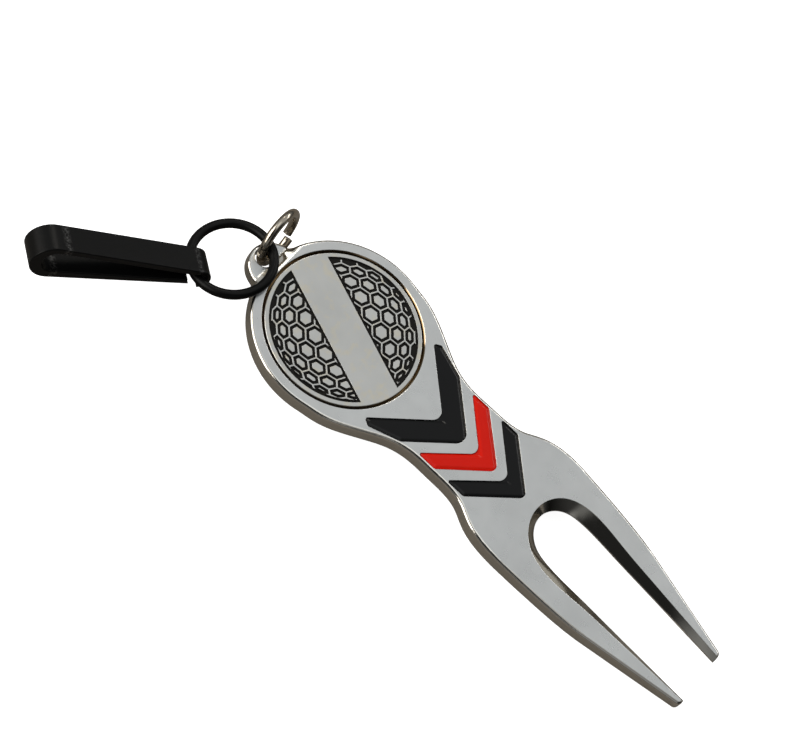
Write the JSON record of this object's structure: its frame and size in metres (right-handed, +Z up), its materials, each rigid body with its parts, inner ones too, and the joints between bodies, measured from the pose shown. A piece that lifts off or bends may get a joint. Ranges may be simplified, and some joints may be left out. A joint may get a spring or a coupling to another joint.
{
  "type": "divot repair tool",
  "caption": "Two-pronged golf green repair fork with a magnetic ball marker in its round head and a belt clip hung on rings",
  "frame": {"origin": "On the flat underside of the head, straight below the centre of the ball marker.", "axes": "+X runs along the tool from the head to the prong tips, +Z points up out of the marked face, +Y completes the set across the tool; the rings and the clip lie towards -X."},
  "size_m": [0.1162, 0.0441, 0.0121],
  "materials": {
    "nickel_satin": "satin nickel plate, bright on rounded edges",
    "black_enamel": "glossy poured enamel",
    "red_enamel": "glossy poured enamel",
    "glue": "cured clear glue film",
    "magnet_plate": "nickel-plated magnet",
    "marker_nickel": "satin nickel plate",
    "marker_black": "black paint fill",
    "ring_nickel": "bright nickel wire",
    "black_coating": "semi-gloss black coating on steel"
  },
  "bodies": {
    "tool": {"tool_body": "nickel_satin", "large_black_chevron": "black_enamel", "red_chevron": "red_enamel", "small_black_chevron": "black_enamel", "magnet_glue_bed": "glue", "marker_magnet": "magnet_plate"},
    "marker": {"marker_disc": "marker_nickel", "marker_fill_near": "marker_black", "marker_fill_far": "marker_black"},
    "jump": {"jump_ring": "ring_nickel"},
    "ring": {"black_ring": "black_coating"},
    "clip": {"belt_clip": "black_coating"}
  },
  "joints": [
    {"name": "marker_lift", "type": "slide", "parent": "tool", "child": "marker", "axis": [0, 0, 1], "range_m": [0, 0.015]},
    {"name": "jump_ring_swing", "type": "hinge", "parent": "tool", "child": "jump", "pos_m": [-0.0158, 0, 0.0011], "axis": [0, 0, 1], "range_deg": [-20, 3]},
    {"name": "black_ring_turn", "type": "hinge", "parent": "jump", "child": "ring", "pos_m": [-0.01909, -0.00408, 0.00233], "axis": [-0.244, -0.055, 0.9682], "range_deg": [-90, 50]},
    {"name": "clip_swing", "type": "hinge", "parent": "ring", "child": "clip", "pos_m": [-0.02211, -0.00904, 0.00133], "axis": [0.7286, -0.6558, 0.1979], "range_deg": [-50, 50]}
  ]
}
